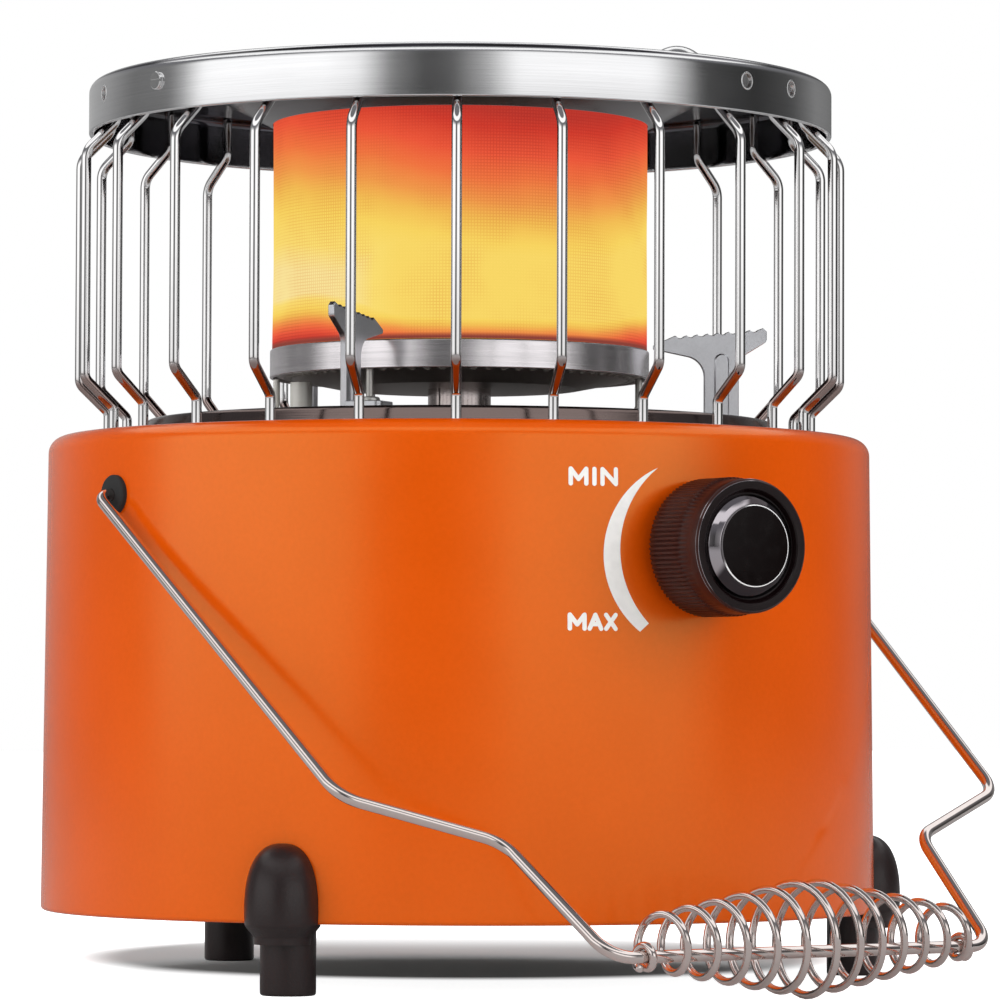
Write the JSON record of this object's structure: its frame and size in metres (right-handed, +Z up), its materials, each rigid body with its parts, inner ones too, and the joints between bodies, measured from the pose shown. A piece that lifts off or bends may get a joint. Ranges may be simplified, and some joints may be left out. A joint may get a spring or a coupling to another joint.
{
  "type": "portable propane heater",
  "caption": "Round portable propane heater: orange drum case on moulded feet, glowing mesh burner in a wire guard under a steel cap, control knob and swinging bail with a coil grip.",
  "frame": {"origin": "on the heater's upright axis, in the plane that its three feet stand on", "axes": "+Z up; -Y towards the control knob and the resting bail; +Y towards the gas inlet; +X to the right of someone who faces the knob, along the bail's pivot axis"},
  "size_m": [0.2102, 0.2628, 0.2187],
  "materials": {
    "orange_paint": "orange powder coat with a fine orange peel",
    "zinc_steel": "zinc-plated steel",
    "black_moulding": "semi-gloss black moulding",
    "black_rubber": "matt black",
    "polished_stainless": "bright pressed stainless steel",
    "brushed_stainless": "stainless steel brushed round its edge",
    "burner_steel": "stainless steel with some heat tint",
    "satin_steel": "satin pressed steel",
    "chromed_wire": "bright plated wire",
    "glowing_mesh": "fine heat-resisting mesh, glowing yellow to red",
    "brass": "machined brass",
    "pipe_metal": "drawn tube",
    "knob_plastic": "dark brown-black plastic",
    "knob_gloss": "gloss black",
    "ceramic": "glazed ceramic with a steel bracket and pin",
    "white_print": "white screen-printed ink of the knob's scale"
  },
  "bodies": {
    "root": {"body_shell": "orange_paint", "bottom_plate": "zinc_steel", "case_screws": "zinc_steel", "panel_nuts": "zinc_steel", "pot_support_rivets": "zinc_steel", "foot_front_left": "black_moulding", "foot_front_right": "black_moulding", "foot_rear": "black_moulding", "grommets": "black_rubber", "igniter_lead": "black_rubber", "deck_pan": "polished_stainless", "burner_band": "brushed_stainless", "burner_cup": "burner_steel", "burner_port_plate": "burner_steel", "mixing_tube": "burner_steel", "pot_support_left": "satin_steel", "pot_support_right": "satin_steel", "pot_support_rear": "satin_steel", "valve_body": "brass", "gas_jet": "brass", "inlet_connector": "brass", "inlet_pipe": "pipe_metal", "gas_pipe": "pipe_metal", "piezo_igniter": "knob_plastic", "spark_electrode": "ceramic"},
    "push_rod": {"valve_plunger": "zinc_steel"},
    "knob": {"valve_stem": "brass", "knob": "knob_plastic", "knob_face": "knob_gloss"},
    "bail": {"bail_wire": "chromed_wire", "coil_grip": "chromed_wire"},
    "radiant_head": {"guard_cap": "brushed_stainless", "cap_fasteners": "brushed_stainless", "heat_deflector": "polished_stainless", "mesh_sleeve": "glowing_mesh", "guard_bottom_ring": "chromed_wire", "guard_wire_01": "chromed_wire", "guard_wire_02": "chromed_wire", "guard_wire_03": "chromed_wire", "guard_wire_04": "chromed_wire", "guard_wire_05": "chromed_wire", "guard_wire_06": "chromed_wire", "guard_wire_07": "chromed_wire", "guard_wire_08": "chromed_wire", "guard_wire_09": "chromed_wire", "guard_wire_10": "chromed_wire", "guard_wire_11": "chromed_wire", "guard_wire_12": "chromed_wire", "guard_wire_13": "chromed_wire", "guard_wire_14": "chromed_wire", "guard_wire_15": "chromed_wire", "guard_wire_16": "chromed_wire", "guard_wire_17": "chromed_wire", "guard_wire_18": "chromed_wire", "guard_wire_19": "chromed_wire", "guard_wire_20": "chromed_wire", "guard_wire_21": "chromed_wire", "guard_wire_22": "chromed_wire", "guard_wire_23": "chromed_wire", "guard_wire_24": "chromed_wire"}
  },
  "joints": [
    {"name": "knob_push", "type": "slide", "parent": "root", "child": "push_rod", "axis": [0.0698, 0.9976, 0], "range_m": [0, 0.002], "stiffness_N_per_m": 300, "springref_m": -0.005},
    {"name": "knob_turn", "type": "hinge", "parent": "push_rod", "child": "knob", "pos_m": [0, 0, 0.1005], "axis": [-0.0698, -0.9976, 0], "range_deg": [0, 150]},
    {"name": "bail_swing", "type": "hinge", "parent": "root", "child": "bail", "pos_m": [0, 0, 0.113], "axis": [-1, 0, 0], "range_deg": [0, 255]},
    {"name": "head_lift", "type": "slide", "parent": "root", "child": "radiant_head", "axis": [0, 0, 1], "range_m": [0, 0.1]}
  ]
}
